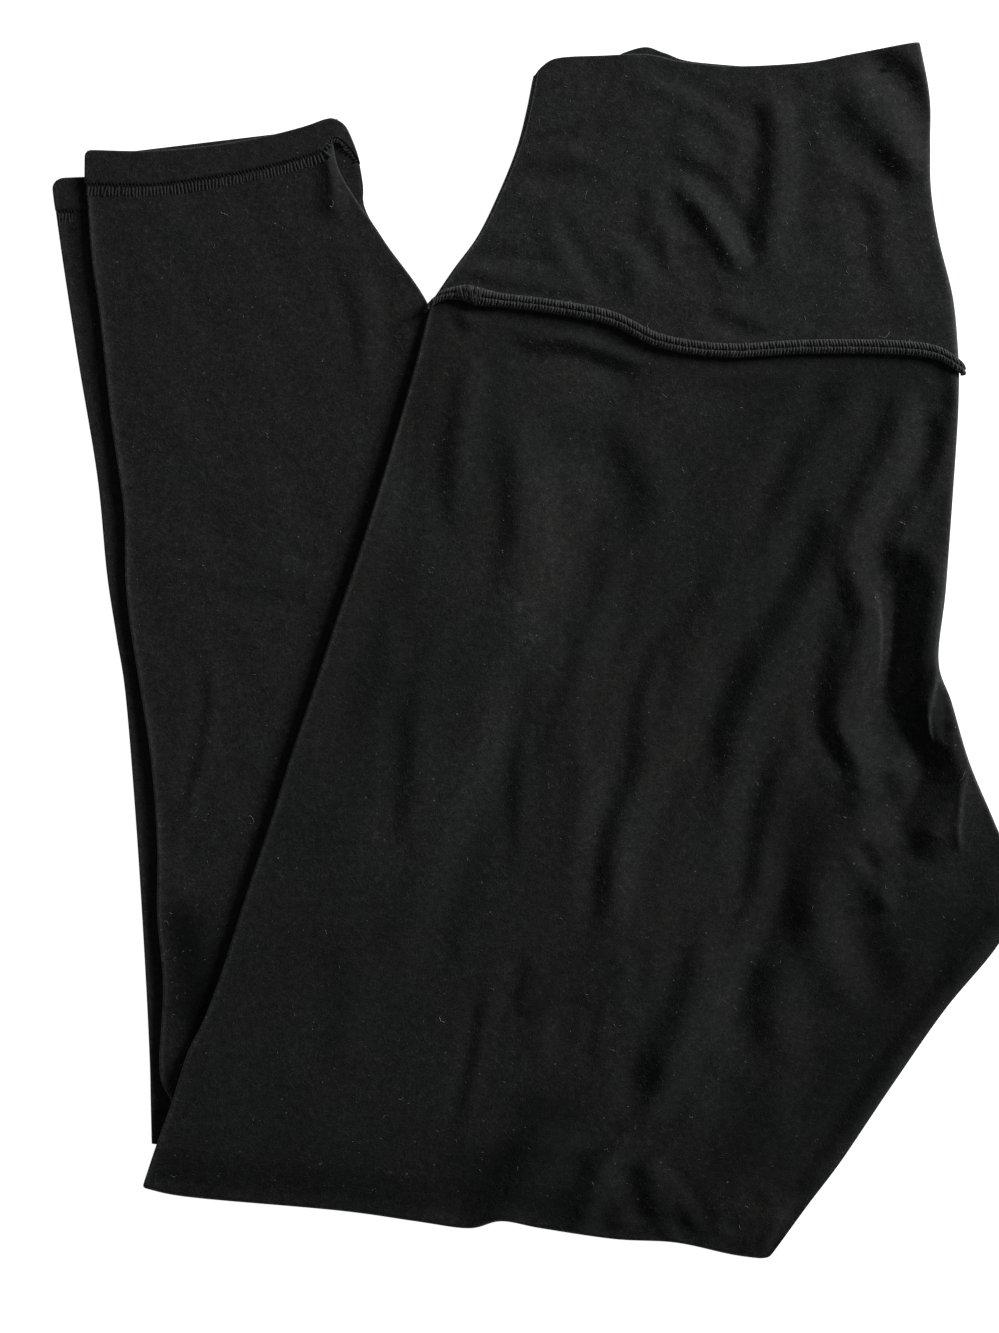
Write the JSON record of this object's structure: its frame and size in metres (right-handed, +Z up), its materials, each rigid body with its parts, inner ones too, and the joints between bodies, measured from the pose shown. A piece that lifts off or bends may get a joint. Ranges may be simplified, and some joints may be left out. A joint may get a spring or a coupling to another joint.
{
  "type": "leggings",
  "caption": "High-rise stretch leggings of brushed jersey, folded in half lengthwise with the lower legs turned under, with a wide waistband and turned hems.",
  "frame": {"origin": "on the surface the garment rests on, under the middle of the folded garment", "axes": "+Z up from the surface, +Y from the folded legs towards the waistband, +X towards the centre fold and the crotch"},
  "size_m": [0.4084, 0.5106, 0.0145],
  "materials": {
    "brushed_jersey": "matte brushed nap with a soft sheen",
    "waistband_jersey": "matte brushed nap, double layer",
    "seam_thread": "matte overlock thread",
    "folded_layers": "matte, inside the fold"
  },
  "bodies": {
    "root": {"near_leg_upper": "brushed_jersey", "near_leg_lower": "brushed_jersey", "far_leg_front": "brushed_jersey", "far_leg_back": "brushed_jersey", "far_hem_front": "brushed_jersey", "far_hem_back": "brushed_jersey", "near_hem": "brushed_jersey", "waistband_back": "waistband_jersey", "waistband_side": "waistband_jersey", "waistband_front": "waistband_jersey", "waist_seam": "seam_thread", "side_seam": "seam_thread", "hidden_layers": "folded_layers"}
  },
  "joints": []
}
